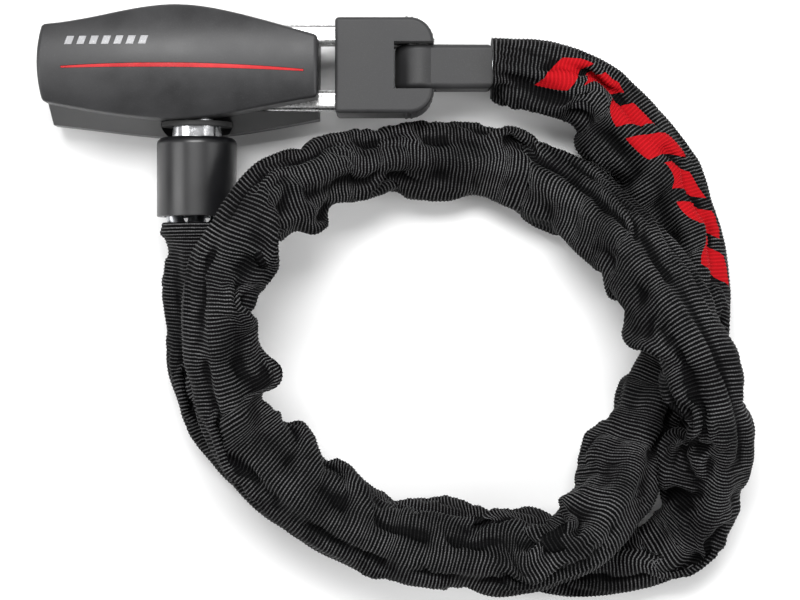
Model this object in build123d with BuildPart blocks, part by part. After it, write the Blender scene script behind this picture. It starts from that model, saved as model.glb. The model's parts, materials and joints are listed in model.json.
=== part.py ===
"""Bicycle chain lock: lock head, welded loop, pivoting strap, sleeved link chain and locking bolt.

Frame: the lock lies on its back, +Z is up, +X runs from the keyway end of the head to the strap,
and the origin is the middle of the rest pad under the head. Millimetres.
"""
import os
from math import cos, pi, radians, sin, tan

from build123d import *

# ---- driving dimensions -------------------------------------------------------------------
SEAM_Z = 26.0            # joint between rear shell and front cover
CROWN_Z = 44.0           # highest point of the front cover
WALL = 2.2               # shell walls
GROOVE_DEPTH = 1.0       # grooves of the cover's inlays
BADGE_BARS = 7           # plain slanted bars beside the long inlay
REST_PAD = 1.2           # rubber pad under the head
AXIS_Z = 22.0            # height of loop, strap, bolt and key cylinder

BAR = 7.5                # square bar of the steel loop
LEG_Y = 11.9             # loop legs either side of the axis
LOOP_X = 86.0            # crossbar of the loop, where the strap turns
LOOP_CORNER = 6.5        # centre line radius of the loop's corners
LEG_START_X = 13.2       # inner end of the loop legs
LEG_PIN_X = 18.0         # pins that hold the legs in the core

COVER_X = (55.5, 90.8)   # rubber cover of the loop
COVER_HALF_Y = 17.2
COVER_Z = (9.5, 34.5)

STRAP_END_X = 112.0      # where the strap ends and the sleeve starts
STRAP_HALF_Y = 8.0
KNUCKLE_R = 9.0
ANCHOR_HOLE_X = 120.0    # eye that the first chain link hangs in
ANCHOR_HALF_Y = 1.8

BOLT_X = 5.0             # axis of the locking bolt
BOLT_R = 7.0
COLLAR_R = 9.0
PORT_Y = -19.8           # floor of the bolt port
CAP_TOP_Y = -25.3
CAP_END_Y = -54.0
CAP_R = 14.5
LINK_PIN_Y = -43.0

PLUG_R = 6.04            # key plug, a running fit in the cylinder
CYLINDER_R = 9.0
KEY_RECESS_R = 11.0      # recess round the keyway in the end of the head
CYLINDER_X = (-43.0, -19.0)
TUMBLERS = 6

LINK_WIRE = 6.0          # chain link wire
LINK_INSIDE = 18.0       # inside length of a link
LINK_OPENING = 10.4       # inside width of a link
LINKS = 58               # links between the anchor eye and the link in the cap

SLEEVE_OD = 28.0
SLEEVE_WALL = 1.0
MOUTH_LENGTH = 8.0       # where the sleeve widens behind the strap

# centre line of the sleeve, from the strap round twice to the bolt cap
ROUTE = [
    (112, 0, 22), (127, 0, 22), (146, -9, 17.5), (169.5, -30, 14.5), (185.5, -58, 14.5),
    (188.5, -90, 14.5), (176, -113, 14.5), (165.5, -132, 17), (159.5, -149, 27.5), (151, -163, 39),
    (135, -174, 44.5), (109, -177, 44.5), (78, -172, 44), (48, -158, 43.5), (26, -136, 44.5),
    (16, -108, 48), (16, -83, 52.5), (21.5, -62, 53.5), (33, -47, 47.5), (50, -38, 34),
    (75, -33, 18.5), (104, -32.5, 14.5), (134, -41.5, 15), (157, -63, 29), (174, -88, 44),
    (187.5, -111, 45), (193.5, -134, 35), (194, -153.5, 22), (185, -170.5, 15), (166, -180, 14.5),
    (144, -179, 14.5), (118, -174, 14.5), (90, -172, 14.5), (60, -165, 14.5),
    (30, -147, 14.5), (10, -121, 15.5), (5, -91, 22), (5, -54, 22),
]
STRAP_SPLIT = 3          # the strap's moving stretch ends half way along the run after this point
BOLT_SPLIT = 34          # the bolt's moving stretch starts half way along the run after this point

PARTS = "parts"


def save(piece, name):
    """Label a finished piece and write it."""
    piece.part.label = name
    export_step(piece.part, f"{PARTS}/{name}.step")


# ---- outlines of the head -----------------------------------------------------------------
def cover_outline(inset=0.0):
    """Face of the front cover's outline, pulled in by inset on every side."""
    upper_left = (-48.8 + inset, 14.2 - inset)
    upper_right = (49.5 - inset, 10.2 - inset)
    lower_right = (49.5 - inset, -11.9 + inset)
    lower_left = (-48.8 + inset, -13.3 + inset)
    with BuildSketch() as face:
        with BuildLine():
            Spline(upper_left, (-29.7, 16.9 - inset), (-2, 21.4 - inset), (24.5, 17.1 - inset), upper_right)
            Line(upper_right, lower_right)
            Spline(lower_right, (24.5, -16.5 + inset), (2.8, -19.4 + inset), (-18.9, -18.4 + inset), lower_left)
            ThreePointArc(lower_left, (-50.4 + inset, 0.5), upper_left)
        make_face()
    return face.sketch


def shell_outline():
    """Face of the rear shell's outline at its widest, which reaches further on the bolt side."""
    upper_left = (-48.9, 14.9)
    upper_right = (49.5, 10.2)
    lower_right = (49.2, -17.9)
    lower_left = (-48.2, -20.0)
    with BuildSketch() as face:
        with BuildLine():
            Spline(upper_left, (-29.7, 17.4), (-2, 21.4), (24.5, 17.1), upper_right)
            Line(upper_right, lower_right)
            Spline(lower_right, (24, -22.4), (-1, -24.6), (-18.9, -23.4), lower_left)
            ThreePointArc(lower_left, (-50.4, -2.5), upper_left)
        make_face()
    return face.sketch


def domed_block(inset, crown):
    """Solid over the cover's outline, rounded across and slightly crowned along the head."""
    across_radius, along_radius, half_arc = 34.0, 420.0, 9.0
    across_y, deepest = 1.0, SEAM_Z - 4
    crown_axis = Axis((0, 0, crown - along_radius), (0, 1, 0))
    with BuildPart() as bowl:
        with BuildSketch(Plane.YZ):
            with BuildLine():
                arc = ThreePointArc(
                    (across_y - across_radius * 0.8, crown - across_radius * 0.4),
                    (across_y, crown),
                    (across_y + across_radius * 0.8, crown - across_radius * 0.4),
                )
                Polyline(arc @ 1, ((arc @ 1).X, deepest), ((arc @ 0).X, deepest), arc @ 0)
            make_face()
        revolve(axis=crown_axis, revolution_arc=2 * half_arc)
    with BuildPart() as block:
        with BuildSketch(Plane.XY.offset(SEAM_Z)):
            add(cover_outline(inset))
        extrude(amount=CROWN_Z - SEAM_Z + 5)
        add(bowl.part.rotate(crown_axis, -half_arc), mode=Mode.INTERSECT)
    return block.part


def inlay_outline(grow=0.0):
    """Face of the slim curved line along the cover."""
    with BuildSketch() as face:
        with BuildLine():
            ThreePointArc((-41.5 - grow, -1.25 + grow), (1.3, -0.3 + grow), (44.5 + grow, -2.35 + grow))
            Line((44.5 + grow, -2.35 + grow), (44.5 + grow, -2.95 - grow))
            ThreePointArc((44.5 + grow, -2.95 - grow), (1.3, -1.8 - grow), (-41.5 - grow, -1.85 - grow))
            Line((-41.5 - grow, -1.85 - grow), (-41.5 - grow, -1.25 + grow))
        make_face()
    return face.sketch


def badge_bar(number, grow=0.0):
    """Face of one of the plain slanted bars in a row on the cover."""
    half_width, half_height, half_lean = 1.3 + grow / 2, 1.5 + grow / 2, 0.5
    x, y = -38.5 + 4.4 * number, 8.0
    with BuildSketch() as bar:
        with BuildLine():
            Polyline(
                (x - half_width - half_lean, y - half_height),
                (x + half_width - half_lean, y - half_height),
                (x + half_width + half_lean, y + half_height),
                (x - half_width + half_lean, y + half_height),
                close=True,
            )
        make_face()
    return bar.sketch


SCREWS = [(-14, 13), (-14, -13.5), (29, 0), (42, 0)]


def bore_along_y(x, radius, y_from, y_to):
    """Add to the running part's cut a cylinder along Y at the lock's axis height."""
    with BuildSketch(Plane.XZ.offset(-y_to)) as circle:
        with Locations((x, AXIS_Z)):
            Circle(radius)
    extrude(circle.sketch, amount=y_to - y_from, mode=Mode.SUBTRACT)


def disc_along_y(x, radius, y_from, y_to):
    """Add a cylinder along Y at the lock's axis height."""
    with BuildSketch(Plane.XZ.offset(-y_to)) as circle:
        with Locations((x, AXIS_Z)):
            Circle(radius)
    extrude(circle.sketch, amount=y_to - y_from)


def disc_along_x(radius, x_from, x_to, mode=Mode.ADD):
    """Add or cut a cylinder along X on the key axis."""
    with BuildSketch(Plane.YZ.offset(x_from)) as circle:
        with Locations((0, AXIS_Z)):
            Circle(radius)
    extrude(circle.sketch, amount=x_to - x_from, mode=mode)


def box(x, y, z, mode=Mode.ADD):
    """Add or cut a box given by its lowest and highest value on each axis."""
    with BuildSketch(Plane.XY.offset(z[0])) as base:
        with Locations(((x[0] + x[1]) / 2, (y[0] + y[1]) / 2)):
            Rectangle(x[1] - x[0], y[1] - y[0])
    extrude(base.sketch, amount=z[1] - z[0], mode=mode)


# ---- head shells --------------------------------------------------------------------------
def make_front_cover():
    boss_foot = 14.2
    with BuildPart() as front_cover:
        add(domed_block(0, CROWN_Z))
        fillet(front_cover.edges().filter_by(Axis.Z), 2.0)
        fillet(front_cover.faces().sort_by(Axis.Z)[-1].edges(), 1.6)
        chamfer(front_cover.faces().sort_by(Axis.Z)[0].edges(), 0.5)
        add(domed_block(WALL, CROWN_Z - WALL), mode=Mode.SUBTRACT)
        for x, y in SCREWS:
            boss_top = 38.4 if y else 41.0
            with BuildSketch(Plane.XY.offset(boss_foot)):
                with Locations((x, y)):
                    Circle(2.6)
            extrude(amount=boss_top - boss_foot)
        with BuildSketch(Plane.XY.offset(boss_foot)):
            with Locations(*SCREWS):
                Circle(1.3)
        extrude(amount=12, mode=Mode.SUBTRACT)
        add(groove_tool(inlay_outline(0.12)), mode=Mode.SUBTRACT)
        for number in range(BADGE_BARS):
            add(groove_tool(badge_bar(number, 0.16)), mode=Mode.SUBTRACT)
        bore_along_y(BOLT_X, BOLT_R + 0.5, -30, -15)
        disc_along_x(KEY_RECESS_R, -60, -46.5, Mode.SUBTRACT)
        disc_along_x(CYLINDER_R + 0.1, -48, -40, Mode.SUBTRACT)
    save(front_cover, "front_cover")


def groove_tool(outline):
    """Solid over an outline, from the floor of its groove upwards."""
    with BuildPart() as tool:
        with BuildSketch(Plane.XY.offset(SEAM_Z + 8)):
            add(outline)
        extrude(amount=12)
        add(domed_block(0, CROWN_Z - GROOVE_DEPTH), mode=Mode.SUBTRACT)
    return tool.part


def inlaid(outline, sunk):
    """Solid that fills a groove of the cover to a little below its surface."""
    with BuildPart() as filling:
        add(groove_tool(outline))
        add(domed_block(0, CROWN_Z - sunk), mode=Mode.INTERSECT)
    return filling.part


def make_inlays():
    with BuildPart() as red_inlay:
        add(inlaid(inlay_outline(), 0.15))
    save(red_inlay, "red_inlay")

    with BuildPart() as badge_bars:
        for number in range(BADGE_BARS):
            add(inlaid(badge_bar(number), 0.1))
    save(badge_bars, "badge_bars")


def make_rear_shell():
    back_z, belly_z = REST_PAD, 15.0
    with BuildPart() as rear_shell:
        with BuildSketch(Plane.XY.offset(belly_z)):
            add(shell_outline())
        with BuildSketch(Plane.XY.offset(SEAM_Z)):
            add(cover_outline(0.35))
        loft()
        with BuildSketch(Plane.XY.offset(back_z)):
            add(shell_outline())
        extrude(amount=belly_z - back_z)
        fillet(rear_shell.faces().sort_by(Axis.Z)[0].edges(), 4.5)
        with BuildSketch(Plane.XY.offset(back_z + WALL)):
            add(cover_outline(WALL + 0.6))
        extrude(amount=SEAM_Z, mode=Mode.SUBTRACT)
        with BuildSketch(Plane.XY.offset(back_z + WALL)):
            with Locations(*SCREWS):
                Circle(4.2)
        extrude(amount=14.0 - back_z - WALL)
        with BuildSketch(Plane.XY.offset(0)):
            with Locations(*SCREWS):
                Circle(1.5)
        extrude(amount=15, mode=Mode.SUBTRACT)
        with BuildSketch(Plane.XY.offset(0)):
            with Locations(*SCREWS):
                Circle(2.8)
        extrude(amount=5, mode=Mode.SUBTRACT)
        bore_along_y(BOLT_X, 13.0, -40, PORT_Y)
        bore_along_y(BOLT_X, BOLT_R + 0.5, PORT_Y - 1, -14)
        for side in (1, -1):
            leg_half = BAR / 2 + 0.12
            box((11, 60), (side * LEG_Y - leg_half, side * LEG_Y + leg_half),
                (AXIS_Z - leg_half, SEAM_Z + 1), Mode.SUBTRACT)
        disc_along_x(KEY_RECESS_R, -60, -46.5, Mode.SUBTRACT)
        disc_along_x(CYLINDER_R + 0.1, -48, -40, Mode.SUBTRACT)
    save(rear_shell, "rear_shell")


def make_rest_pad():
    with BuildPart() as rest_pad:
        with BuildSketch(Plane.XY):
            RectangleRounded(62, 18, 6)
        extrude(amount=REST_PAD)
        chamfer(rest_pad.faces().sort_by(Axis.Z)[0].edges(), 0.3)
    save(rest_pad, "rest_pad")


def make_screws():
    for number, (x, y) in enumerate(SCREWS, start=1):
        with BuildPart() as screw:
            with BuildSketch(Plane.XY.offset(2.8)):
                with Locations((x, y)):
                    Circle(2.5)
            extrude(amount=2.2)
            with BuildSketch(Plane.XY.offset(5.0)):
                with Locations((x, y)):
                    Circle(1.3)
            extrude(amount=19)
            with BuildSketch(Plane.XY.offset(2.8)):
                with Locations((x, y)):
                    RegularPolygon(1.25, 6)
            extrude(amount=1.3, mode=Mode.SUBTRACT)
        save(screw, f"casing_screw_{number}")


def make_port_seal():
    with BuildPart() as port_seal:
        disc_along_y(BOLT_X, 12.8, PORT_Y - 1.6, PORT_Y)
        bore_along_y(BOLT_X, COLLAR_R + 0.4, PORT_Y - 3, PORT_Y + 1)
    save(port_seal, "port_seal")


# ---- lock works ---------------------------------------------------------------------------
def make_lock_core():
    with BuildPart() as lock_core:
        box((-8, 23), (-13.9, 14.6), (8, 34))
        chamfer(lock_core.edges().filter_by(Axis.Z), 1.0)
        bore_along_y(BOLT_X, BOLT_R + 0.06, -20, 6.5)
        box((-9, -1), (-2.4, 2.4), (AXIS_Z - 3.3, AXIS_Z + 3.3), Mode.SUBTRACT)
        leg_half = BAR / 2 + 0.05
        for side in (1, -1):
            y_inner, y_outer = side * (LEG_Y - leg_half), side * 20
            box((LEG_START_X - 0.05, 30), (min(y_inner, y_outer), max(y_inner, y_outer)),
                (AXIS_Z - leg_half, AXIS_Z + leg_half), Mode.SUBTRACT)
        with BuildSketch(Plane.XY.offset(5)):
            with Locations((LEG_PIN_X, LEG_Y), (LEG_PIN_X, -LEG_Y)):
                Circle(1.6)
        extrude(amount=35, mode=Mode.SUBTRACT)
    save(lock_core, "lock_core")


def make_leg_pins():
    for name, side in (("upper", 1), ("lower", -1)):
        with BuildPart() as leg_pin:
            with BuildSketch(Plane.XY.offset(9)):
                with Locations((LEG_PIN_X, side * LEG_Y)):
                    Circle(1.6)
            extrude(amount=24)
        save(leg_pin, f"leg_pin_{name}")


def make_cylinder():
    start, end = CYLINDER_X
    with BuildPart() as key_cylinder:
        disc_along_x(CYLINDER_R, start, end)
        disc_along_x(PLUG_R + 0.05, start - 1, end + 1, Mode.SUBTRACT)
    save(key_cylinder, "key_cylinder")

    with BuildPart() as drill_plate:
        disc_along_x(CYLINDER_R, start - 1.6, start)
        disc_along_x(PLUG_R + 0.3, start - 2, start + 1, Mode.SUBTRACT)
    save(drill_plate, "drill_plate")

    with BuildPart() as keyway_bezel:
        disc_along_x(10.9, -48.0, -46.5)
        disc_along_x(CYLINDER_R, -46.5, start - 1.6)
        disc_along_x(PLUG_R + 0.3, -50, start, Mode.SUBTRACT)
        chamfer(keyway_bezel.faces().sort_by(Axis.X)[0].edges(), 0.4)
    save(keyway_bezel, "keyway_bezel")

    with BuildPart() as cylinder_clamp:
        box((-17.9, -9.9), (-8, 8), (5.0, 7.0))
        box((-17.9, -15.9), (-8, 8), (7.0, 12.5))
    save(cylinder_clamp, "cylinder_clamp")


def tumbler_x(number):
    return -40.0 + 3.2 * number


def make_plug():
    face_x = -47.4
    with BuildPart() as key_plug:
        disc_along_x(PLUG_R, face_x, CYLINDER_X[1])
        chamfer(key_plug.faces().sort_by(Axis.X)[0].edges(), 0.4)
        box((face_x - 1, -21), (-1.0, 1.0), (AXIS_Z - 3.6, AXIS_Z + 3.6), Mode.SUBTRACT)
        for number in range(TUMBLERS):
            x = tumbler_x(number)
            box((x - 0.5, x + 0.5), (-2.3, 2.3), (AXIS_Z - 8, AXIS_Z + 8), Mode.SUBTRACT)
    save(key_plug, "key_plug")

    for number in range(TUMBLERS):
        x = tumbler_x(number)
        with BuildPart() as tumbler:
            box((x - 0.44, x + 0.44), (-2.2, 2.2), (AXIS_Z - 5.4, AXIS_Z + 5.4))
            shift = 0.4 * ((number * 2) % 3 - 1)
            box((x - 1, x + 1), (-1.1, 1.1), (AXIS_Z - 3.2 + shift, AXIS_Z + 3.2 + shift), Mode.SUBTRACT)
        save(tumbler, f"tumbler_{number + 1}")

    with BuildPart() as plug_spindle:
        disc_along_x(5.8, CYLINDER_X[1], -16.8)
        disc_along_x(2.0, -16.8, -7.0)
    save(plug_spindle, "plug_spindle")


def make_latch():
    back, tip = -10.6, -2.4
    with BuildPart() as latch_bolt:
        box((back, tip), (-2.2, 2.2), (AXIS_Z - 3.1, AXIS_Z + 3.1))
        disc_along_x(2.08, back - 1, -6.0, Mode.SUBTRACT)
        chamfer(latch_bolt.faces().sort_by(Axis.X)[-1].edges(), 0.5)
    save(latch_bolt, "latch_bolt")

    coils, wire = 5, 0.45
    with BuildPart() as latch_spring:
        with BuildSketch(Plane.XZ):
            with Locations(*[(-16.2 + 1.2 * i, AXIS_Z + 3.0) for i in range(coils)]):
                Circle(wire)
        revolve(axis=Axis((0, 0, AXIS_Z), (1, 0, 0)))
    save(latch_spring, "latch_spring")


# ---- loop, cover and strap ----------------------------------------------------------------
def loop_solid(grow):
    """The square bar bent into a U, grown by a clearance on all sides."""
    with BuildPart() as bar:
        with BuildLine():
            path = FilletPolyline((LEG_START_X, LEG_Y, AXIS_Z), (LOOP_X, LEG_Y, AXIS_Z), (LOOP_X, -LEG_Y, AXIS_Z),
                                  (LEG_START_X, -LEG_Y, AXIS_Z), radius=LOOP_CORNER)
        with BuildSketch(Plane(origin=path @ 0, z_dir=path % 0)):
            RectangleRounded(BAR + 2 * grow, BAR + 2 * grow, 1.8 + grow)
        sweep()
    return bar.part


def make_loop():
    with BuildPart() as steel_loop:
        add(loop_solid(0))
        with BuildSketch(Plane.XY.offset(5)):
            with Locations((LEG_PIN_X, LEG_Y), (LEG_PIN_X, -LEG_Y)):
                Circle(1.6)
        extrude(amount=35, mode=Mode.SUBTRACT)
    save(steel_loop, "steel_loop")


def make_loop_cover():
    corner, slot_clearance = 9.0, 0.5
    arc_x, arc_y = COVER_X[1] - corner, COVER_HALF_Y - corner
    slot_half = STRAP_HALF_Y + slot_clearance
    with BuildPart() as loop_cover:
        box(COVER_X, (-COVER_HALF_Y, COVER_HALF_Y), COVER_Z)
        upright = loop_cover.edges().filter_by(Axis.Z).sort_by(Axis.X)
        fillet(upright[-2:], corner - 0.4)
        fillet(upright[:2], 1.5)
        ends = loop_cover.faces().filter_by(Axis.Z)
        fillet(ends.edges(), 1.4)
        for side in (1, -1):
            spots = [(arc_x + corner * cos(radians(a)) - 0.35, side * (arc_y + corner * sin(radians(a)) - 0.35))
                     for a in range(8, 100, 12)]
            with BuildSketch(Plane.XY.offset(COVER_Z[0] + 2.0)):
                with Locations(*spots):
                    Circle(0.75)
            extrude(amount=COVER_Z[1] - COVER_Z[0] - 4.0)
        box((LOOP_X, 100), (-slot_half, slot_half), (0, 50), Mode.SUBTRACT)
        with BuildSketch(Plane.XZ.offset(-slot_half)):
            with Locations((LOOP_X, AXIS_Z)):
                Circle(KNUCKLE_R + 0.4)
        extrude(amount=2 * slot_half, mode=Mode.SUBTRACT)
        box((LOOP_X - KNUCKLE_R - 0.4, LOOP_X), (-slot_half, slot_half), (AXIS_Z, 50), Mode.SUBTRACT)
        box((LOOP_X - KNUCKLE_R - 0.4, LOOP_X), (-slot_half, slot_half), (0, AXIS_Z), Mode.SUBTRACT)
        add(loop_solid(0.05), mode=Mode.SUBTRACT)
    save(loop_cover, "loop_cover")


def anchor_solid(grow):
    """Steel strap from the crossbar's bush to the eye of the first link."""
    with BuildPart() as plate:
        with BuildSketch(Plane.XZ.offset(-ANCHOR_HALF_Y - grow)):
            with Locations((LOOP_X, AXIS_Z)):
                Circle(7.3 + grow)
            with Locations(((LOOP_X + ANCHOR_HOLE_X) / 2, AXIS_Z)):
                Rectangle(ANCHOR_HOLE_X - LOOP_X, 9.0 + 2 * grow)
            with Locations((ANCHOR_HOLE_X, AXIS_Z)):
                Circle(7.2 + grow)
        extrude(amount=2 * (ANCHOR_HALF_Y + grow))
    return plate.part


def make_strap():
    bush_r, bush_half = 5.2, 5.0
    with BuildPart() as pivot_bush:
        disc_along_y(LOOP_X, bush_r, -bush_half, bush_half)
        add(loop_solid(0.0), mode=Mode.SUBTRACT)
    save(pivot_bush, "pivot_bush")

    with BuildPart() as anchor_strap:
        add(anchor_solid(0))
        bore_along_y(LOOP_X, bush_r + 0.08, -10, 10)
        bore_along_y(ANCHOR_HOLE_X, 4.9, -10, 10)
    save(anchor_strap, "anchor_strap")

    root_half, end_half = 8.2, 7.5
    with BuildPart() as strap_boot:
        with BuildSketch(Plane.XZ.offset(-STRAP_HALF_Y)):
            with Locations((LOOP_X, AXIS_Z)):
                Circle(KNUCKLE_R)
            with BuildLine():
                Polyline((LOOP_X, AXIS_Z - root_half), (STRAP_END_X, AXIS_Z - end_half),
                         (STRAP_END_X, AXIS_Z + end_half), (LOOP_X, AXIS_Z + root_half), close=True)
            make_face()
        extrude(amount=2 * STRAP_HALF_Y)
        sides = strap_boot.faces().filter_by(Axis.Y)
        fillet(sides.edges(), 2.0)
        add(anchor_solid(0.03), mode=Mode.SUBTRACT)
        bore_along_y(LOOP_X, bush_r + 0.8, -20, 20)
    save(strap_boot, "strap_boot")

    with BuildPart() as strap_ferrule:
        disc_along_x(7.2, STRAP_END_X, STRAP_END_X + 2.6)
        disc_along_x(6.2, STRAP_END_X - 1, STRAP_END_X + 4, Mode.SUBTRACT)
    save(strap_ferrule, "strap_ferrule")


# ---- locking bolt and cap -----------------------------------------------------------------
def make_bolt():
    tip_y, groove_half, groove_r, tail_end = 5.5, 2.6, 4.0, -31.0
    with BuildPart() as bolt_pin:
        disc_along_y(BOLT_X, BOLT_R, PORT_Y, tip_y)
        chamfer(bolt_pin.faces().sort_by(Axis.Y)[-1].edges(), 1.4)
        disc_along_y(BOLT_X, COLLAR_R, CAP_TOP_Y, PORT_Y - 0.3)
        disc_along_y(BOLT_X, BOLT_R, PORT_Y - 0.4, PORT_Y + 0.1)
        collar_rim = bolt_pin.edges().filter_by(GeomType.CIRCLE).filter_by(lambda e: e.radius > COLLAR_R - 0.1)
        chamfer(collar_rim.sort_by(Axis.Y)[-1], 0.6)
        disc_along_y(BOLT_X, 5.0, tail_end, CAP_TOP_Y)
        with BuildSketch(Plane.XZ.offset(-groove_half)):
            with Locations((BOLT_X, AXIS_Z)):
                Circle(BOLT_R + 1)
                Circle(groove_r, mode=Mode.SUBTRACT)
        extrude(amount=2 * groove_half, mode=Mode.SUBTRACT)
    save(bolt_pin, "bolt_pin")

    cavity_top, cavity_r = -32.3, 12.6
    with BuildPart() as bolt_cap:
        disc_along_y(BOLT_X, CAP_R, CAP_END_Y, CAP_TOP_Y)
        fillet(bolt_cap.faces().sort_by(Axis.Y)[-1].edges(), 2.6)
        chamfer(bolt_cap.faces().sort_by(Axis.Y)[0].edges(), 0.3)
        bore_along_y(BOLT_X, cavity_r, CAP_END_Y - 1, cavity_top)
        bore_along_y(BOLT_X, 5.0, cavity_top - 1, CAP_TOP_Y + 1)
        with BuildSketch(Plane.XY.offset(AXIS_Z - 13.4)):
            with Locations((BOLT_X, LINK_PIN_Y)):
                Circle(3.0)
        extrude(amount=26.8, mode=Mode.SUBTRACT)
    save(bolt_cap, "bolt_cap")

    with BuildPart() as bolt_link_pin:
        with BuildSketch(Plane.XY.offset(AXIS_Z - 13.4)):
            with Locations((BOLT_X, LINK_PIN_Y)):
                Circle(3.0)
        extrude(amount=26.8)
    save(bolt_link_pin, "bolt_link_pin")

    with BuildPart() as cap_ferrule:
        disc_along_y(BOLT_X, cavity_r, CAP_END_Y, CAP_END_Y + 4)
        bore_along_y(BOLT_X, 12.0, CAP_END_Y - 1, CAP_END_Y + 5)
    save(cap_ferrule, "cap_ferrule")

    pin_clearance = 0.15
    link_y = LINK_PIN_Y + 3.0 + pin_clearance - LINK_INSIDE / 2
    with BuildPart() as bolt_link:
        with Locations(Location((BOLT_X, link_y, AXIS_Z), (0, 0, 90))):
            add(link_solid())
    save(bolt_link, "bolt_link")


# ---- chain and sleeve ---------------------------------------------------------------------
def link_solid():
    """One welded link, long along X and flat in XY, centred on the origin."""
    half_straight = (LINK_INSIDE - LINK_OPENING) / 2
    bar_y = (LINK_OPENING + LINK_WIRE) / 2
    end_x = half_straight + bar_y
    with BuildPart() as link:
        with BuildLine() as loop:
            Line((-half_straight, bar_y), (half_straight, bar_y))
            ThreePointArc((half_straight, bar_y), (end_x, 0), (half_straight, -bar_y))
            Line((half_straight, -bar_y), (-half_straight, -bar_y))
            ThreePointArc((-half_straight, -bar_y), (-end_x, 0), (-half_straight, bar_y))
        with BuildSketch(Plane(origin=(0, bar_y, 0), z_dir=(1, 0, 0))):
            Circle(LINK_WIRE / 2)
        sweep(path=loop.wire())
    return link.part


def route_radii():
    """Arc radius at each inner point: as large as the shorter of its two runs allows."""
    points = [Vector(*p) for p in ROUTE]
    radii = []
    for before, here, after in zip(points, points[1:], points[2:]):
        turn = radians((here - before).get_angle(after - here))
        shorter = min((here - before).length, (after - here).length)
        radii.append(0.45 * shorter / tan(turn / 2))
    return radii


def midpoint(number):
    """Half way along the run that follows a route point."""
    return (Vector(*ROUTE[number]) + Vector(*ROUTE[number + 1])) * 0.5


def tube(start, points, radii):
    """Hollow sleeve along straight runs joined by tangent arcs."""
    with BuildPart() as sleeve:
        with BuildLine():
            path = FilletPolyline(start, *points, radius=radii)
        with BuildSketch(Plane(origin=path @ 0, z_dir=path % 0)):
            Circle(SLEEVE_OD / 2)
            Circle(SLEEVE_OD / 2 - SLEEVE_WALL, mode=Mode.SUBTRACT)
        sweep()
    section = pi * (SLEEVE_OD * SLEEVE_WALL - SLEEVE_WALL ** 2)
    length = path.length
    print(f"tube length {length:.1f}, volume {sleeve.part.volume:.0f} of {section * length:.0f}")
    return sleeve.part


def make_sleeve():
    radii = route_radii()
    print("arc radii", [round(r) for r in radii])
    points = [Vector(*p) for p in ROUTE]

    first_run = (points[1] - points[0]).normalized()
    mouth_end = points[0] + first_run * MOUTH_LENGTH
    narrow_r = 8.3
    with BuildPart() as sleeve_strap_end:
        with BuildSketch(Plane(origin=points[0], z_dir=first_run)):
            Circle(narrow_r)
        with BuildSketch(Plane(origin=mouth_end, z_dir=first_run)):
            Circle(SLEEVE_OD / 2)
        loft()
        with BuildSketch(Plane(origin=points[0], z_dir=first_run)):
            Circle(narrow_r - SLEEVE_WALL)
        with BuildSketch(Plane(origin=mouth_end, z_dir=first_run)):
            Circle(SLEEVE_OD / 2 - SLEEVE_WALL)
        loft(mode=Mode.SUBTRACT)
        add(tube(mouth_end, points[1:STRAP_SPLIT + 1] + [midpoint(STRAP_SPLIT)], radii[:STRAP_SPLIT]))
    save(sleeve_strap_end, "sleeve_strap_end")

    with BuildPart() as sleeve:
        add(tube(midpoint(STRAP_SPLIT), points[STRAP_SPLIT + 1:BOLT_SPLIT + 1] + [midpoint(BOLT_SPLIT)],
                 radii[STRAP_SPLIT:BOLT_SPLIT]))
    save(sleeve, "sleeve")

    with BuildPart() as sleeve_bolt_end:
        add(tube(midpoint(BOLT_SPLIT), points[BOLT_SPLIT + 1:], radii[BOLT_SPLIT:]))
    save(sleeve_bolt_end, "sleeve_bolt_end")


def make_chain():
    with BuildLine() as route:
        FilletPolyline(*ROUTE, radius=route_radii())
    path = route.wire()
    first = ANCHOR_HOLE_X - STRAP_END_X + LINK_INSIDE / 2 + LINK_WIRE / 2 + 0.4
    hook_y = LINK_PIN_Y + 3.15 - LINK_INSIDE + LINK_WIRE / 2 + 0.3 - (LINK_INSIDE + LINK_WIRE) / 2
    last = path.length - (CAP_END_Y - hook_y)
    pitch = (last - first) / (LINKS - 1)
    print(f"chain pitch {pitch:.2f}, sleeve length {path.length:.1f}")

    hook = Vector(ANCHOR_HOLE_X + 0.3, 0, AXIS_Z)
    places = []
    for number in range(LINKS):
        centre = first + pitch * number
        ends = [path.position_at((centre + shift) / path.length) for shift in (-pitch / 2, pitch / 2)]
        if number == 0:
            ends[0] = hook + (ends[1] - hook).normalized() * ((LINK_INSIDE + LINK_WIRE - pitch) / 2)
        along = (ends[1] - ends[0]).normalized()
        sideways = Vector(0, 0, 1).cross(along).normalized()
        up = along.cross(sideways)
        flat = up if number % 2 == 0 else sideways
        middle = (ends[0] + ends[1]) * 0.5
        places.append(Plane(origin=middle, x_dir=along, z_dir=flat).location)

    groups = {
        "chain_strap_end": places[:4],
        "chain_run_1": places[4:16],
        "chain_run_2": places[16:29],
        "chain_run_3": places[29:42],
        "chain_run_4": places[42:54],
        "chain_bolt_end": places[54:],
    }
    for name, group in groups.items():
        with BuildPart() as chain:
            with Locations(*group):
                add(link_solid())
        save(chain, name)


def main():
    os.makedirs(PARTS, exist_ok=True)
    make_front_cover()
    make_inlays()
    make_rear_shell()
    make_rest_pad()
    make_screws()
    make_port_seal()
    make_lock_core()
    make_leg_pins()
    make_cylinder()
    make_plug()
    make_latch()
    make_loop()
    make_loop_cover()
    make_strap()
    make_bolt()
    make_sleeve()
    make_chain()


if __name__ == "__main__":
    main()
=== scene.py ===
"""Chain lock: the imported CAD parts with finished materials, and the woven sleeve as a relaxed cloth tube."""
import json
from collections import namedtuple
from math import pi

import bpy
import numpy as np
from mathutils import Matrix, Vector, kdtree


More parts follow.
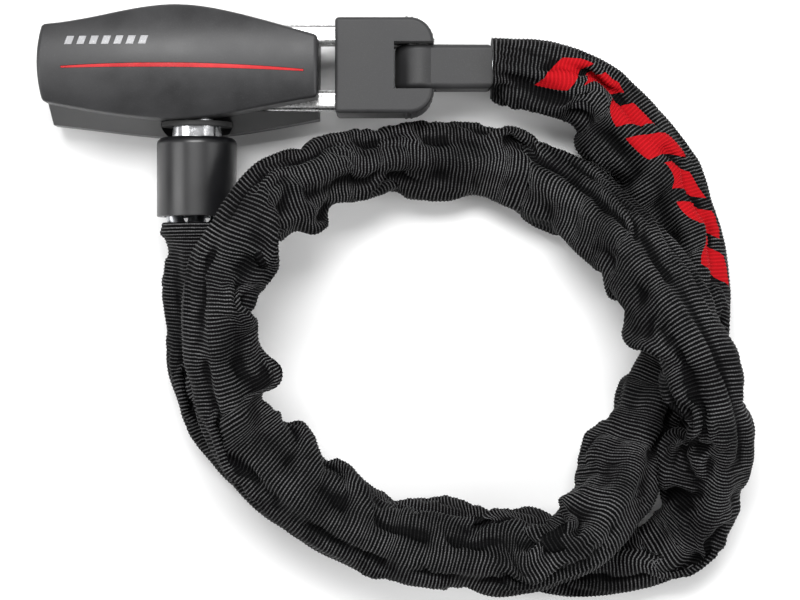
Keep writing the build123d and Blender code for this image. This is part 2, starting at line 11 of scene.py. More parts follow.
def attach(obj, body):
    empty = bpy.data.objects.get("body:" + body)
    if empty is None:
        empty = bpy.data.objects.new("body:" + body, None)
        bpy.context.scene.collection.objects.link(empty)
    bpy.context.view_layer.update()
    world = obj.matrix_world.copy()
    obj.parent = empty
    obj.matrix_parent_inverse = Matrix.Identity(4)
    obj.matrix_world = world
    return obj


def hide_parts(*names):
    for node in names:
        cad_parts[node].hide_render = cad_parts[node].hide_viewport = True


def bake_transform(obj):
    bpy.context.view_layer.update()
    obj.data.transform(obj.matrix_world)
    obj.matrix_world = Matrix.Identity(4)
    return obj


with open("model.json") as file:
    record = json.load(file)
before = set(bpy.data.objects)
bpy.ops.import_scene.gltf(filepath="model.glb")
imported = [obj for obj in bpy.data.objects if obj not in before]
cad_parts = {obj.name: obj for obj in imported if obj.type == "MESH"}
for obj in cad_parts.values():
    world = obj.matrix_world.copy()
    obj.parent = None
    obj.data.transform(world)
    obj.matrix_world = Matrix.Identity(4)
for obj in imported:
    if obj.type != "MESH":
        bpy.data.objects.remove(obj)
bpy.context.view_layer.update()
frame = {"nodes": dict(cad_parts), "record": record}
nodes = frame["nodes"]

# ---- the sleeve's sizes, in metres --------------------------------------------------------
ROUTE = [
    (0.112, 0, 0.022), (0.127, 0, 0.022), (0.146, -0.009, 0.0175), (0.1695, -0.030, 0.0145),
    (0.184, -0.0575, 0.0145), (0.1885, -0.090, 0.0145), (0.176, -0.113, 0.0145), (0.1655, -0.132, 0.017),
    (0.1595, -0.149, 0.0275), (0.151, -0.163, 0.039), (0.135, -0.174, 0.0445), (0.109, -0.177, 0.0445),
    (0.078, -0.172, 0.044), (0.048, -0.158, 0.0435), (0.026, -0.136, 0.0445), (0.016, -0.108, 0.048),
    (0.016, -0.083, 0.0525), (0.0215, -0.062, 0.0535), (0.033, -0.047, 0.0475), (0.050, -0.038, 0.034),
    (0.075, -0.033, 0.0185), (0.104, -0.0325, 0.0145), (0.134, -0.0415, 0.015), (0.157, -0.063, 0.029),
    (0.174, -0.088, 0.044), (0.1875, -0.111, 0.045), (0.192, -0.133, 0.035), (0.1915, -0.1515, 0.022),
    (0.182, -0.168, 0.015), (0.1645, -0.1775, 0.0145), (0.144, -0.178, 0.0145), (0.118, -0.174, 0.0145),
    (0.090, -0.172, 0.0145), (0.060, -0.165, 0.0145), (0.030, -0.147, 0.0145), (0.010, -0.121, 0.0155),
    (0.005, -0.091, 0.022), (0.005, -0.054, 0.022),
]
STRAP_SPLIT = (0.1775, -0.044, 0.0145)   # where the middle stretch meets the end that the strap moves
BOLT_SPLIT = (0.020, -0.134, 0.015)      # and the end that the bolt moves
STRAP_TURN = {"start": (0.170, -0.028, 0.015), "end": (0.118, 0, 0.022)}
BOLT_TURN = {"start": (0.014, -0.112, 0.016), "end": (0.005, -0.060, 0.022)}

HALF_WIDTHS = [          # from the sleeve's start
    (0, 0.0110), (0.008, 0.0135), (0.018, 0.0180), (0.05, 0.0178), (0.12, 0.0162), (0.18, 0.0176),
    (0.24, 0.0160), (0.29, 0.0158), (0.35, 0.0180), (0.40, 0.0165), (0.43, 0.0165), (0.50, 0.0150),
    (0.56, 0.0165), (0.64, 0.0175), (0.72, 0.0162), (0.82, 0.0160), (0.88, 0.0178),
]
END_HALF_WIDTHS = [(0.05, 0.0162), (0.02, 0.0132), (0, 0.0125)]    # from its end
HALF_HEIGHTS = [(0, 0.0125), (0.02, 0.0134)]
END_HALF_HEIGHTS = [(0.03, 0.0128), (0, 0.0120)]

RIB = 0.00118            # from one rib of the weave to the next
RIB_HEIGHT = 0.00022
GROOVE_DEPTH = 0.00006
ROWS_PER_RIB = 3
COLUMNS = 44             # of the finished mesh, round the tube
COARSE_ROW = 0.0021      # the relaxed cloth's grid
COARSE_COLUMNS = 44

POINT_AREA = 0.45e-6     # of the links' surface for each point that the cloth rests on
DIRECTIONS = 90          # round the route, in which the links' reach is kept
CORE_RADIUS = 0.004      # the least that the cloth stays away from the route
CLEARANCE = 0.0014       # between cloth and links
LOWEST, HIGHEST = -0.0136, 0.0138    # the cloth's reach below and above the route
SLIDE = 0.006            # how far the cloth may move along the route
FLOOR_GAP = 0.0006
SAG = 0.00002            # how far each step lets the cloth down
SHRINK = 0.00001         # and draws it in
ALONG_HOLD, AROUND_HOLD, DIAGONAL_HOLD = 0.9, 0.8, 0.25    # the threads' stiffness
FULL_STEPS, QUICK_STEPS = 260, 60
THREADS_ROUND = 96       # warp threads in the weave, round the sleeve

Path = namedtuple("Path", "s line tangent side up")


# ---- route and its frame ------------------------------------------------------------------
def route_line(step):
    """Places every step along the route's smooth curve, and the points there."""
    curve = bpy.data.curves.new("route", "CURVE")
    curve.dimensions = "3D"
    spline = curve.splines.new("NURBS")
    spline.points.add(len(ROUTE) - 1)
    for point, place in zip(spline.points, ROUTE):
        point.co = (*place, 1)
    spline.order_u = 3
    spline.use_endpoint_u = True
    spline.resolution_u = 24
    carrier = bpy.data.objects.new("route", curve)
    bpy.context.scene.collection.objects.link(carrier)
    bpy.context.view_layer.update()
    mesh = bpy.data.meshes.new_from_object(carrier)
    raw = np.array([v.co for v in mesh.vertices], float)
    bpy.data.objects.remove(carrier)
    along = np.concatenate([[0], np.cumsum(np.linalg.norm(np.diff(raw, axis=0), axis=1))])
    s = np.arange(int(along[-1] / step) + 1) * step
    return s, resampled(s, along, raw)


def resampled(wanted, places, points):
    return np.stack([np.interp(wanted, places, points[:, k]) for k in range(3)], axis=1)


def smooth_rows(values, passes):
    for _ in range(passes):
        values[1:-1] = (values[:-2] + 2 * values[1:-1] + values[2:]) / 4
    return values


def make_path():
    """The route with its direction, its level side and its upper side at every row."""
    s, line = route_line(COARSE_ROW)
    tangent = smooth_rows(np.gradient(line, axis=0), 12)
    tangent /= np.linalg.norm(tangent, axis=1)[:, None]
    side = np.cross((0, 0, 1), tangent)
    side /= np.linalg.norm(side, axis=1)[:, None]
    return Path(s, line, tangent, side, np.cross(tangent, side))


def table(s, stations, end_stations):
    """A smooth value along the sleeve from (place, value) pairs, measured from its start and its end."""
    from_end = [(s[-1] - place, value) for place, value in end_stations]
    places, values = zip(*stations, *from_end)
    return smooth_rows(np.interp(s, places, values), 6)


# ---- what the cloth rests on --------------------------------------------------------------
def link_points():
    """Points spread over the links and the steel at the sleeve's two mouths."""
    draw = np.random.default_rng(7)
    found = []
    for name in nodes:
        if not name.startswith("chain_") and name not in ("anchor_strap", "bolt_link"):
            continue
        mesh = nodes[name].data
        co = np.empty(len(mesh.vertices) * 3)
        mesh.vertices.foreach_get("co", co)
        co = co.reshape(-1, 3)
        mesh.calc_loop_triangles()
        corners = np.empty(len(mesh.loop_triangles) * 3, int)
        mesh.loop_triangles.foreach_get("vertices", corners)
        a, b, c = (co[corners.reshape(-1, 3)[:, k]] for k in range(3))
        area = np.linalg.norm(np.cross(b - a, c - a), axis=1) / 2
        count = int(area.sum() / POINT_AREA)
        pick = draw.choice(len(area), count, p=area / area.sum())
        u, v = draw.random((2, count, 1))
        beyond = u + v > 1
        u, v = np.where(beyond, 1 - u, u), np.where(beyond, 1 - v, v)
        found.append(a[pick] + u * (b - a)[pick] + v * (c - a)[pick])
    return np.concatenate(found)


def links_reach(path):
    """How far from the route the links reach, by row and by direction round it."""
    tree = kdtree.KDTree(len(path.line))
    for k, place in enumerate(path.line):
        tree.insert(place, k)
    tree.balance()
    points = link_points()
    near = np.array([tree.find(point)[1] for point in points])
    off = points - path.line[near]
    past_end = np.abs((off * path.tangent[near]).sum(1))
    within = (past_end < 0.003) & (np.linalg.norm(off, axis=1) < 0.015)
    off, near = off[within], near[within]
    across, above = (off * path.side[near]).sum(1), (off * path.up[near]).sum(1)
    turn = np.arctan2(above, across) / (2 * pi) % 1
    direction = np.floor(turn * DIRECTIONS).astype(int) % DIRECTIONS
    reach = np.full((len(path.line), DIRECTIONS), CORE_RADIUS)
    np.maximum.at(reach, (near, direction), np.hypot(across, above))
    for shift in (1, -1):
        reach = np.maximum(reach, np.roll(reach, shift, axis=1) * 0.985)
    for _ in range(2):
        wider = reach.copy()
        wider[1:] = np.maximum(wider[1:], reach[:-1] - 0.0002)
        wider[:-1] = np.maximum(wider[:-1], reach[1:] - 0.0002)
        reach = wider
    reach += CLEARANCE
    reach[:1] = CORE_RADIUS
    reach[-2:] = CORE_RADIUS
    return reach


# ---- cloth of the sleeve ------------------------------------------------------------------
def noise_rows(draw, rows, columns, wave_rows, wave_columns):
    """Smooth noise that joins up round the tube."""
    spectrum = np.fft.rfft2(draw.standard_normal((rows, columns)))
    by_row = np.fft.fftfreq(rows)[:, None] * wave_rows
    by_column = np.fft.rfftfreq(columns)[None, :] * wave_columns
    spectrum *= np.exp(-((np.hypot(by_row, by_column) - 1) / 0.45) ** 2)
    field = np.fft.irfft2(spectrum, (rows, columns))
    return field / field.std()


def pull(a, b, rest, strength, apart_only=False):
    """Move the points a and b, in place, towards being rest apart."""
    gap = b - a
    length = np.sqrt((gap * gap).sum(-1)) + 1e-9
    share = 0.5 * strength * (length - rest) / length
    if apart_only:
        share = np.minimum(share, 0)
    gap *= share[..., None]
    a += gap
    b -= gap


def hold_threads(cloth, along, around):
    """Bring neighbouring points to the threads' spacing, every other pair at a time."""
    for first in (0, 1):
        pull(cloth[first:-1:2], cloth[first + 1::2], along[first::2], ALONG_HOLD)
    pull(cloth[:, 0::2], cloth[:, 1::2], around, AROUND_HOLD)
    following = np.arange(2, cloth.shape[1] + 2, 2) % cloth.shape[1]
    wrapped = cloth[:, following]
    pull(cloth[:, 1::2], wrapped, around, AROUND_HOLD)
    cloth[:, following] = wrapped


def hold_diagonals(cloth, along, around):
    high = np.roll(cloth, -1, axis=1)[1:]
    pull(cloth[:-1], high, np.hypot(along, around[:-1]), DIAGONAL_HOLD)
    cloth[1:] = np.roll(high, 1, axis=1)


def hold_rows_apart(cloth, span, rest, strength):
    """Stiffness along the sleeve: rows that are span apart don't fold together."""
    for first in range(2 * span):
        upper = cloth[first + span::2 * span]
        lower = cloth[first::2 * span][: len(upper)]
        pull(lower, upper, rest[first::2 * span][: len(upper)], strength, apart_only=True)


def hold_columns_apart(cloth, rest, strength):
    """The same round the sleeve, for columns that are two apart."""
    ahead = np.roll(cloth, -2, axis=1)
    a, b = cloth.copy(), ahead.copy()
    pull(a, b, rest, strength, apart_only=True)
    cloth += (a - cloth) + np.roll(b - ahead, 2, axis=1)


def kept_clear(cloth, path, reach, most):
    """The cloth moved outside the links, above the floor and out of its neighbours."""
    rows = len(cloth)
    off = cloth - path.line[:, None]
    slide = (off * path.tangent[:, None]).sum(-1)
    across = (off * path.side[:, None]).sum(-1)
    above = (off * path.up[:, None]).sum(-1)
    row = np.clip(np.arange(rows)[:, None] + np.rint(slide / COARSE_ROW).astype(int), 0, rows - 1)
    turn = (np.arctan2(above, across) / (2 * pi) % 1) * DIRECTIONS
    direction = turn.astype(int) % DIRECTIONS
    share = turn - np.floor(turn)
    least = reach[row, direction] * (1 - share) + reach[row, (direction + 1) % DIRECTIONS] * share
    radius = np.hypot(across, above) + 1e-9
    grow = np.clip(radius - SHRINK, least, np.maximum(most, least)) / radius
    over_links = least * above / radius
    across = across * grow
    above = np.clip(above * grow, np.minimum(LOWEST, over_links), np.maximum(HIGHEST, over_links))
    slide = np.clip(slide, -SLIDE, SLIDE)
    cloth = (path.line[:, None] + slide[..., None] * path.tangent[:, None]
             + across[..., None] * path.side[:, None] + above[..., None] * path.up[:, None])
    cloth[..., 2] = np.maximum(cloth[..., 2], FLOOR_GAP)
    return cloth


def relaxed(path):
    """The sleeve's cloth after it has settled on the links: positions by row and column."""
    s = path.s
    rows, columns = len(s), COARSE_COLUMNS
    width = table(s, HALF_WIDTHS, END_HALF_WIDTHS)
    height = table(s, HALF_HEIGHTS, END_HALF_HEIGHTS)
    reach = links_reach(path)
    curve_in = smooth_rows(np.gradient(path.tangent, COARSE_ROW, axis=0), 10)

    theta = np.arange(columns) * 2 * pi / columns
    cosine, sine = np.cos(theta)[None, :], np.sin(theta)[None, :]
    outward = cosine[..., None] * path.side[:, None] + sine[..., None] * path.up[:, None]
    inner_side = np.clip((curve_in[:, None, :] * outward).sum(-1), 0, 20)
    draw = np.random.default_rng(21)
    folds = (0.0012 * noise_rows(draw, rows, columns, 9.0, 22)
             + 0.0024 * noise_rows(draw, rows, columns, 16, 44))
    fade = np.clip(np.minimum(s, s[-1] - s) / 0.012, 0, 1)[:, None]
    radius = 1 / np.sqrt((cosine / width[:, None]) ** 2 + (sine / height[:, None]) ** 2)
    radius = radius + folds * (0.8 + 0.05 * inner_side) * fade
    cloth = path.line[:, None] + radius[..., None] * outward

    # the sleeve is a little longer than its route, most of all in the bends, and so it wrinkles there
    taut = 1.04 + 0.0085 * np.linalg.norm(curve_in, axis=1)
    along = (COARSE_ROW * (taut[:-1] + taut[1:]) / 2)[:, None]
    perimeter = 2 * pi * np.sqrt((width ** 2 + height ** 2) / 2) / columns
    around = (perimeter * 0.985)[:, None]
    two_rows = along[:-1] + along[1:]
    four_rows = two_rows[:-2] + two_rows[2:]
    most = width[:, None] + 0.0010 + 0.00022 * np.clip(inner_side, 0, 16)
    mouths = (cloth[:1].copy(), cloth[-3:].copy())
    for _ in range(FULL_STEPS):
        cloth[..., 2] -= SAG
        for _ in range(2):
            hold_threads(cloth, along, around)
        hold_diagonals(cloth, along, around)
        hold_rows_apart(cloth, 2, two_rows * 0.94, 0.35)
        hold_rows_apart(cloth, 4, four_rows * 0.94, 0.5)
        hold_columns_apart(cloth, 2 * around * 0.96, 0.18)
        cloth = kept_clear(cloth, path, reach, most)
        cloth[:1], cloth[-3:] = mouths
    return cloth


def finer(cloth, s, fine_s, columns):
    """The cloth's grid resampled smoothly, by row with a cubic and round the tube exactly."""
    spectrum = np.fft.rfft(cloth, axis=1)
    padded = np.zeros((len(s), columns // 2 + 1, 3), complex)
    keep = min(spectrum.shape[1], padded.shape[1])
    padded[:, :keep] = spectrum[:, :keep]
    dense = np.fft.irfft(padded, columns, axis=1) * columns / cloth.shape[1]
    place = fine_s / (s[1] - s[0])
    k = np.clip(np.floor(place).astype(int), 0, len(s) - 2)
    t = (place - k)[:, None, None]
    p0, p1, p2, p3 = (dense[np.clip(k + d, 0, len(s) - 1)] for d in (-1, 0, 1, 2))
    cubic = 3 * (p1 - p2) + p3 - p0
    square = 2 * p0 - 5 * p1 + 4 * p2 - p3
    return p1 + 0.5 * t * (p2 - p0 + t * (square + t * cubic))


def outward_normals(points, centre):
    along = np.gradient(points, axis=0)
    around = np.roll(points, -1, axis=1) - np.roll(points, 1, axis=1)
    normal = np.cross(around, along)
    normal /= np.linalg.norm(normal, axis=2)[..., None] + 1e-12
    facing = ((points - centre[:, None]) * normal).sum(-1)
    return normal * np.sign(facing.mean())


def crease_shade_depth(points, normal, row_step):
    """How deep each point of the cloth lies in a crease, from 0 to 1: how much painted shade it gets."""
    wide = points
    for half_window in (0.0016, 0.0032, 0.0032):
        reach = int(half_window / row_step)
        padded = np.pad(wide, ((reach, reach), (0, 0), (0, 0)), mode="edge")
        running = np.cumsum(np.concatenate([np.zeros_like(padded[:1]), padded]), axis=0)
        wide = (running[2 * reach + 1:] - running[: -2 * reach - 1]) / (2 * reach + 1)
        wide = (np.roll(wide, 2, axis=1) + 2 * np.roll(wide, 1, axis=1) + 2 * wide
                + 2 * np.roll(wide, -1, axis=1) + np.roll(wide, -2, axis=1)) / 8
    deep = ((wide - points) * normal).sum(-1)
    return np.clip(0.35 + deep / 0.0022, 0, 1)


def grid_mesh(name, points, rows_s, closed_start, closed_end, crease_shade):
    """Tube mesh from rows of points; UV is (share of the way round the tube, metres along it)."""
    rows, columns = points.shape[:2]
    verts = [tuple(p) for p in points.reshape(-1, 3)]
    here = np.arange(columns)
    beside = (here + 1) % columns
    quads = []
    for row in range(rows - 1):
        a, b = row * columns + here, row * columns + beside
        quads.append(np.stack([a, b, b + columns, a + columns], axis=1))
    quads = np.concatenate(quads).tolist()
    caps = []
    for closed, row in ((closed_start, 0), (closed_end, rows - 1)):
        if not closed:
            continue
        centre = len(verts)
        verts.append(tuple(points[row].mean(0)))
        for a, b in zip((row * columns + here).tolist(), (row * columns + beside).tolist()):
            caps.append((b, a, centre) if row == 0 else (a, b, centre))
    mesh = bpy.data.meshes.new(name)
    mesh.from_pydata(verts, [], quads + caps)

    uv = mesh.uv_layers.new(name="weave")
    share = np.arange(columns + 1) / columns
    u = np.stack([share[:-1], share[1:], share[1:], share[:-1]], axis=1)
    low, high = np.repeat(rows_s[:-1], columns), np.repeat(rows_s[1:], columns)
    flat = np.zeros((len(mesh.loops), 2), np.float32)
    flat[: len(quads) * 4, 0] = np.tile(u, (rows - 1, 1)).reshape(-1)
    flat[: len(quads) * 4, 1] = np.stack([low, low, high, high], axis=1).reshape(-1)
    flat[len(quads) * 4:, 1] = rows_s[0] if closed_start else rows_s[-1]
    uv.data.foreach_set("uv", flat.reshape(-1))
    mesh.polygons.foreach_set("use_smooth", np.ones(len(mesh.polygons), bool))
    # painted shade in the creases, kept on each point for the weave's colour
    crease = np.ones(len(verts), np.float32)
    crease[: rows * columns] = crease_shade.reshape(-1)
    mesh.attributes.new("crease_shade", "FLOAT", "POINT").data.foreach_set("value", crease)
    mesh.update()
    made = bpy.data.objects.new(name, mesh)
    bpy.context.scene.collection.objects.link(made)
    return made


def make_sleeve():
    """The sleeve's three pieces, the middle one's path, its first point and its length."""
    path = make_path()
    row_step = RIB / ROWS_PER_RIB
    fine_s = np.arange(int(path.s[-1] / row_step) + 1) * row_step
    points = finer(relaxed(path), path.s, fine_s, COLUMNS)
    centre = resampled(fine_s, path.s, path.line)
    normal = outward_normals(points, centre)
    # how deep each point lies in a crease, for the painted shade there
    crease_shade = crease_shade_depth(points, normal, row_step)
    on_rib = np.arange(len(fine_s)) % ROWS_PER_RIB == 0
    points = points + normal * np.where(on_rib, RIB_HEIGHT, -GROOVE_DEPTH)[:, None, None]
    points[..., 2] = np.maximum(points[..., 2], FLOOR_GAP / 2)

    def row_near(place):
        nearest = int(np.argmin(np.linalg.norm(centre - np.array(place), axis=1)))
        return nearest - nearest % ROWS_PER_RIB + 1

    first, last = row_near(STRAP_SPLIT), row_near(BOLT_SPLIT)
    spans = {"woven_sleeve_strap_end": (0, first + 1), "woven_sleeve": (first, last + 1),
             "woven_sleeve_bolt_end": (last, len(fine_s))}
    pieces = {}
    for name, (a, b) in spans.items():
        pieces[name] = grid_mesh(name, points[a:b], fine_s[a:b], a == 0, b == len(fine_s), crease_shade[a:b])
    followed = centre[first:last + 1:4].tolist()
    if (last - first) % 4:
        followed.append(centre[last].tolist())
    return pieces, followed, centre[first], fine_s[last] - fine_s[first]


# ---- materials ----------------------------------------------------------------------------
def material(name):
    made = bpy.data.materials.new(name)
    made.use_nodes = True
    tree = made.node_tree
    return made, tree, tree.nodes["Principled BSDF"]


def node(tree, kind, **values):
    """A shader node; in_NAME sets a socket's value, and any other name sets a property."""
    made = tree.nodes.new("ShaderNode" + kind)
    for key, value in values.items():
        if key.startswith("in_"):
            made.inputs[key[3:].replace("_", " ")].default_value = value
        else:
            setattr(made, key, value)
    return made


def math(tree, kind, *terms):
    made = node(tree, "Math", operation=kind)
    for socket, term in zip(made.inputs, terms):
        if isinstance(term, (int, float)):
            socket.default_value = term
        else:
            tree.links.new(term, socket)
    return made.outputs[0]


def product(tree, first, *others):
    for other in others:
        first = math(tree, "MULTIPLY", first, other)
    return first


def mix(tree, share, first, second):
    made = node(tree, "Mix", data_type="RGBA")
    tree.links.new(share, made.inputs["Factor"])
    for socket, colour in ((made.inputs[6], first), (made.inputs[7], second)):
        if isinstance(colour, tuple):
            socket.default_value = (*colour, 1)
        else:
            tree.links.new(colour, socket)
    return made.outputs[2]


def noise(tree, scale, detail=3.0, rough=0.55):
    made = node(tree, "TexNoise", in_Scale=scale, in_Detail=detail, in_Roughness=rough)
    tree.links.new(node(tree, "TexCoord").outputs["Object"], made.inputs["Vector"])
    return made.outputs["Fac"]


def spread(tree, value, low, high, to_low=0.0, to_high=1.0):
    """The value's range low to high stretched to another range, and held inside it."""
    made = node(tree, "MapRange", clamp=True)
    tree.links.new(value, made.inputs["Value"])
    for socket, number in zip(("From Min", "From Max", "To Min", "To Max"), (low, high, to_low, to_high)):
        made.inputs[socket].default_value = number
    return made.outputs["Result"]


def bump(tree, shader, height, strength, distance):
    made = node(tree, "Bump", in_Strength=strength, in_Distance=distance)
    tree.links.new(height, made.inputs["Height"])
    tree.links.new(made.outputs["Normal"], shader.inputs["Normal"])


def moulded(name, dark, light, rough, grain, grain_depth, sheen=0.0, coat=0.0):
    """Plastic or rubber: mottled colour, a fine moulded grain and slightly uneven gloss."""
    made, tree, shader = material(name)
    patch = noise(tree, 60, 4)
    fine = noise(tree, grain, 2)
    colour = mix(tree, spread(tree, patch, 0.35, 0.65), dark, light)
    speck = tuple(min(1, c * 2.2) for c in light)
    speckled = mix(tree, spread(tree, fine, 0.55, 0.75, 0.0, 0.35), colour, speck)
    tree.links.new(speckled, shader.inputs["Base Color"])
    tree.links.new(spread(tree, patch, 0.3, 0.7, rough - 0.06, rough + 0.06), shader.inputs["Roughness"])
    shader.inputs["Sheen Weight"].default_value = sheen
    shader.inputs["Coat Weight"].default_value = coat
    shader.inputs["Coat Roughness"].default_value = 0.25
    bump(tree, shader, fine, 0.35, grain_depth)
    return made


def metal(name, dark, light, rough, scale, depth):
    """Metal with fine specks and larger patches of uneven gloss."""
    made, tree, shader = material(name)
    speck = noise(tree, scale, 5, 0.65)
    patch = noise(tree, scale * 0.4, 3, 0.6)
    tree.links.new(mix(tree, spread(tree, speck, 0.35, 0.65), dark, light), shader.inputs["Base Color"])
    tree.links.new(spread(tree, patch, 0.3, 0.7, rough - 0.07, rough + 0.09), shader.inputs["Roughness"])
    shader.inputs["Metallic"].default_value = 1.0
    bump(tree, shader, speck, 0.4, depth)
    return made


def printed_bars(tree, around, along):
    """Where seven plain slanted bars are printed along the sleeve's first bend."""
    half_band, pitch, lean, filled, count = 0.082, 0.0146, 0.045, 0.68, 7.0
    first_bar, band_turn = 0.018, 0.262
    offset = math(tree, "SUBTRACT", around, math(tree, "MULTIPLY_ADD", along, -1.0, band_turn))
    leant = math(tree, "MULTIPLY", offset, lean)
    bar = math(tree, "DIVIDE", math(tree, "ADD", math(tree, "SUBTRACT", along, first_bar), leant), pitch)
    inside_bar = math(tree, "LESS_THAN", math(tree, "FRACT", bar), filled)
    in_run = product(tree, math(tree, "GREATER_THAN", bar, 0.0), math(tree, "LESS_THAN", bar, count))
    in_band = math(tree, "LESS_THAN", math(tree, "ABSOLUTE", offset), half_band)
    return product(tree, inside_bar, in_run, in_band)


def weave_material():
    """Black ribbed polyamide: a painted pale sheen on the ribs, broken up, dark in the grooves, and painted
    shade in the creases.
    """
    made, tree, shader = material("woven_polyamide")
    parts = node(tree, "SeparateXYZ")
    tree.links.new(node(tree, "UVMap", uv_map="weave").outputs["UV"], parts.inputs[0])
    around, along = parts.outputs["X"], parts.outputs["Y"]
    wander = math(tree, "MULTIPLY", math(tree, "SUBTRACT", noise(tree, 700, 2), 0.5), 0.22)
    rib_place = math(tree, "ADD", math(tree, "DIVIDE", along, RIB), wander)
    wave = math(tree, "COSINE", math(tree, "MULTIPLY", rib_place, 2 * pi))
    ridge = spread(tree, wave, 0.25, 0.90)
    threads = math(tree, "SINE", math(tree, "MULTIPLY", around, 2 * pi * THREADS_ROUND))
    beads = spread(tree, threads, -0.9, 0.6, 0.55, 1.0)
    patch = spread(tree, noise(tree, 55, 4, 0.6), 0.36, 0.66, 0.35, 1.0)
    broken = spread(tree, noise(tree, 1500, 2), 0.35, 0.6, 0.6, 1.0)
    # painted shade: the ribs' pale colour is taken down where the cloth lies deep in a crease
    crease = node(tree, "Attribute", attribute_name="crease_shade").outputs["Fac"]
    crease_shade_factor = spread(tree, crease, 0.30, 0.75, 1.0, 0.12)
    # painted sheen: pale colour on the ribs stands in for the light that they catch on the black polyamide
    shine = product(tree, ridge, beads, product(tree, patch, broken), crease_shade_factor)
    black_with_painted_sheen = mix(tree, shine, (0.0010, 0.0010, 0.0012), (0.165, 0.165, 0.168))
    red = mix(tree, spread(tree, wave, -0.6, 0.9), (0.32, 0.004, 0.007), (0.46, 0.007, 0.012))
    printed = mix(tree, printed_bars(tree, around, along), black_with_painted_sheen, red)
    tree.links.new(printed, shader.inputs["Base Color"])
    rough = math(tree, "SUBTRACT", 0.72, math(tree, "MULTIPLY", shine, 0.22))
    tree.links.new(rough, shader.inputs["Roughness"])
    shader.inputs["Specular IOR Level"].default_value = 0.05
    height = math(tree, "ADD", math(tree, "MULTIPLY", ridge, 0.8), math(tree, "MULTIPLY", threads, 0.12))
    bump(tree, shader, height, 0.6, 0.00018)
    return made


def make_finishes():
    """A material for each slot of the record that a CAD node keeps."""
    return {
        "cover_plastic": moulded("cover_polyamide", dark=(0.015, 0.015, 0.016), light=(0.027, 0.027, 0.0285),
                                 rough=0.47, grain=2600, grain_depth=0.00003),
        "shell_plastic": moulded("shell_polyamide", dark=(0.006, 0.006, 0.0065), light=(0.011, 0.011, 0.012),
                                 rough=0.40, grain=2600, grain_depth=0.00003),
        "red_inlay": moulded("red_acrylic", dark=(0.36, 0.003, 0.006), light=(0.50, 0.006, 0.010),
                             rough=0.28, grain=1800, grain_depth=0.00001, coat=0.5),
        "badge": moulded("grey_print", dark=(0.26, 0.26, 0.27), light=(0.36, 0.36, 0.37),
                         rough=0.35, grain=1800, grain_depth=0.00001),
        "pad_rubber": moulded("pad_rubber", dark=(0.012, 0.012, 0.012), light=(0.022, 0.022, 0.022),
                              rough=0.75, grain=1800, grain_depth=0.00005),
        "zinc_steel": metal("zinc_steel", dark=(0.45, 0.46, 0.48), light=(0.66, 0.67, 0.69),
                            rough=0.34, scale=900, depth=0.00001),
        "loop_steel": metal("speckled_steel", dark=(0.42, 0.42, 0.42), light=(0.92, 0.92, 0.92),
                            rough=0.30, scale=1100, depth=0.00008),
        "bolt_chrome": metal("chrome", dark=(0.62, 0.63, 0.65), light=(0.84, 0.85, 0.87),
                             rough=0.14, scale=500, depth=0.000005),
        "brass": metal("brass", dark=(0.52, 0.36, 0.13), light=(0.68, 0.50, 0.22),
                       rough=0.30, scale=900, depth=0.00001),
        "cover_rubber": moulded("grey_rubber", dark=(0.010, 0.010, 0.0105), light=(0.022, 0.022, 0.0235),
                                rough=0.56, grain=2200, grain_depth=0.00006, sheen=0.05),
        "cap_black": moulded("black_lacquer", dark=(0.003, 0.003, 0.004), light=(0.006, 0.006, 0.007),
                             rough=0.38, grain=1400, grain_depth=0.00001, coat=0.15),
        "chain_steel": metal("chain_steel", dark=(0.30, 0.31, 0.33), light=(0.52, 0.53, 0.55),
                             rough=0.36, scale=700, depth=0.00002),
    }


# ---- build --------------------------------------------------------------------------------
sleeve_pieces, sleeve_path, sleeve_exit, middle_length = make_sleeve()
weave = weave_material()
for piece in sleeve_pieces.values():
    piece.data.materials.append(weave)
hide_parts("sleeve_strap_end")
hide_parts("sleeve")
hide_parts("sleeve_bolt_end")
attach(sleeve_pieces["woven_sleeve"], "lock_head")
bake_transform(sleeve_pieces["woven_sleeve_strap_end"])
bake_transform(sleeve_pieces["woven_sleeve_bolt_end"])

finishes = make_finishes()
slot_of = {part["node"]: part["material_slot"] for part in frame["record"]["subparts"]}
for name, item in nodes.items():
    if slot_of[name] == "sleeve_fabric":
        continue
    finish = finishes[slot_of[name]]
    if item.data.materials:
        for k in range(len(item.data.materials)):
            item.data.materials[k] = finish
    else:
        item.data.materials.append(finish)

# the links at both ends, copied out of the CAD nodes, which are hidden
for name, made_name, body, turn in (("chain_strap_end", "links_strap_end", "strap", STRAP_TURN),
                                    ("chain_bolt_end", "links_bolt_end", "bolt_end", BOLT_TURN)):
    links = bpy.data.objects.new(made_name, nodes[name].data.copy())
    bpy.context.scene.collection.objects.link(links)
    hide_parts(name)
    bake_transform(links)


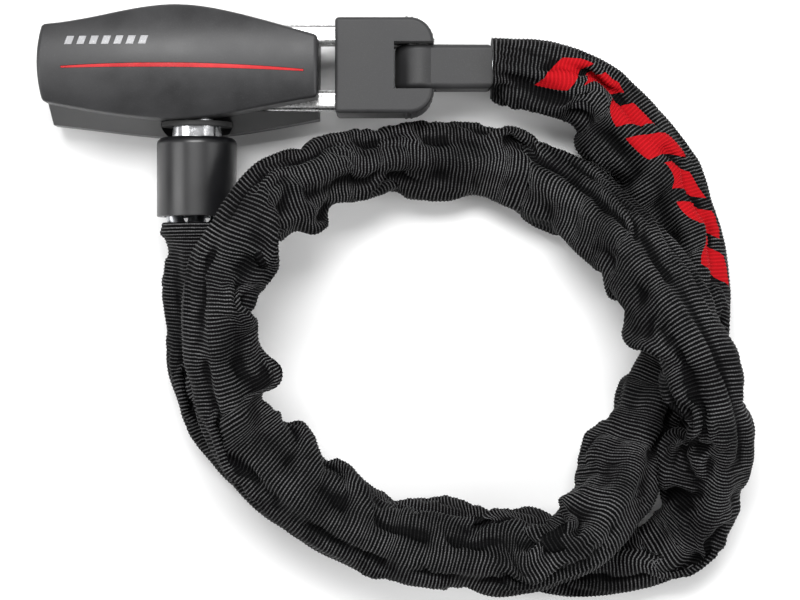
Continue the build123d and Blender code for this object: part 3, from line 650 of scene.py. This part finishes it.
# ---- stage --------------------------------------------------------------------------------
def make_floor(half):
    mesh = bpy.data.meshes.new("floor")
    corners = [(-half, -half, 0), (half, -half, 0), (half, half, 0), (-half, half, 0)]
    mesh.from_pydata(corners, [], [(0, 1, 2, 3)])
    floor = bpy.data.objects.new("floor", mesh)
    bpy.context.scene.collection.objects.link(floor)
    floor.location.z = -0.0002
    pale, tree, shader = material("pale_floor")
    cloud = spread(tree, noise(tree, 3, 2), 0.3, 0.7)
    tree.links.new(mix(tree, cloud, (0.93, 0.93, 0.93), (0.96, 0.96, 0.96)), shader.inputs["Base Color"])
    shader.inputs["Roughness"].default_value = 0.9
    shader.inputs["Specular IOR Level"].default_value = 0.1
    mesh.materials.append(pale)
    return floor


def make_world(strength):
    world = bpy.data.worlds.new("studio")
    bpy.context.scene.world = world
    world.use_nodes = True
    background = world.node_tree.nodes["Background"]
    background.inputs["Color"].default_value = (1, 1, 1, 1)
    background.inputs["Strength"].default_value = strength


def softbox(name, place, aim, size, power):
    data = bpy.data.lights.new(name, "AREA")
    data.shape = "RECTANGLE"
    data.size, data.size_y = size
    data.energy = power
    lamp = bpy.data.objects.new(name, data)
    bpy.context.scene.collection.objects.link(lamp)
    lamp.location = place
    lamp.rotation_euler = (Vector(aim) - Vector(place)).to_track_quat("-Z", "Y").to_euler()


def make_camera(place, lens):
    """A camera that looks straight down."""
    data = bpy.data.cameras.new("camera")
    data.lens = lens
    data.sensor_width = 36.0
    camera = bpy.data.objects.new("camera", data)
    camera.location = place
    bpy.context.scene.collection.objects.link(camera)
    bpy.context.scene.camera = camera


make_floor(3.0)
make_world(0.42)
middle = (0.075, -0.08, 0.0)
softbox("key", (0.0, 0.42, 1.10), middle, (0.7, 0.4), 14)
softbox("fill", (0.95, -0.25, 0.8), middle, (0.5, 0.6), 5.5)
softbox("left", (-0.85, -0.1, 0.75), middle, (0.4, 0.6), 5)
make_camera((0.0788, -0.0842, 0.8), 96.3)
bpy.context.scene.view_settings.view_transform = "Standard"
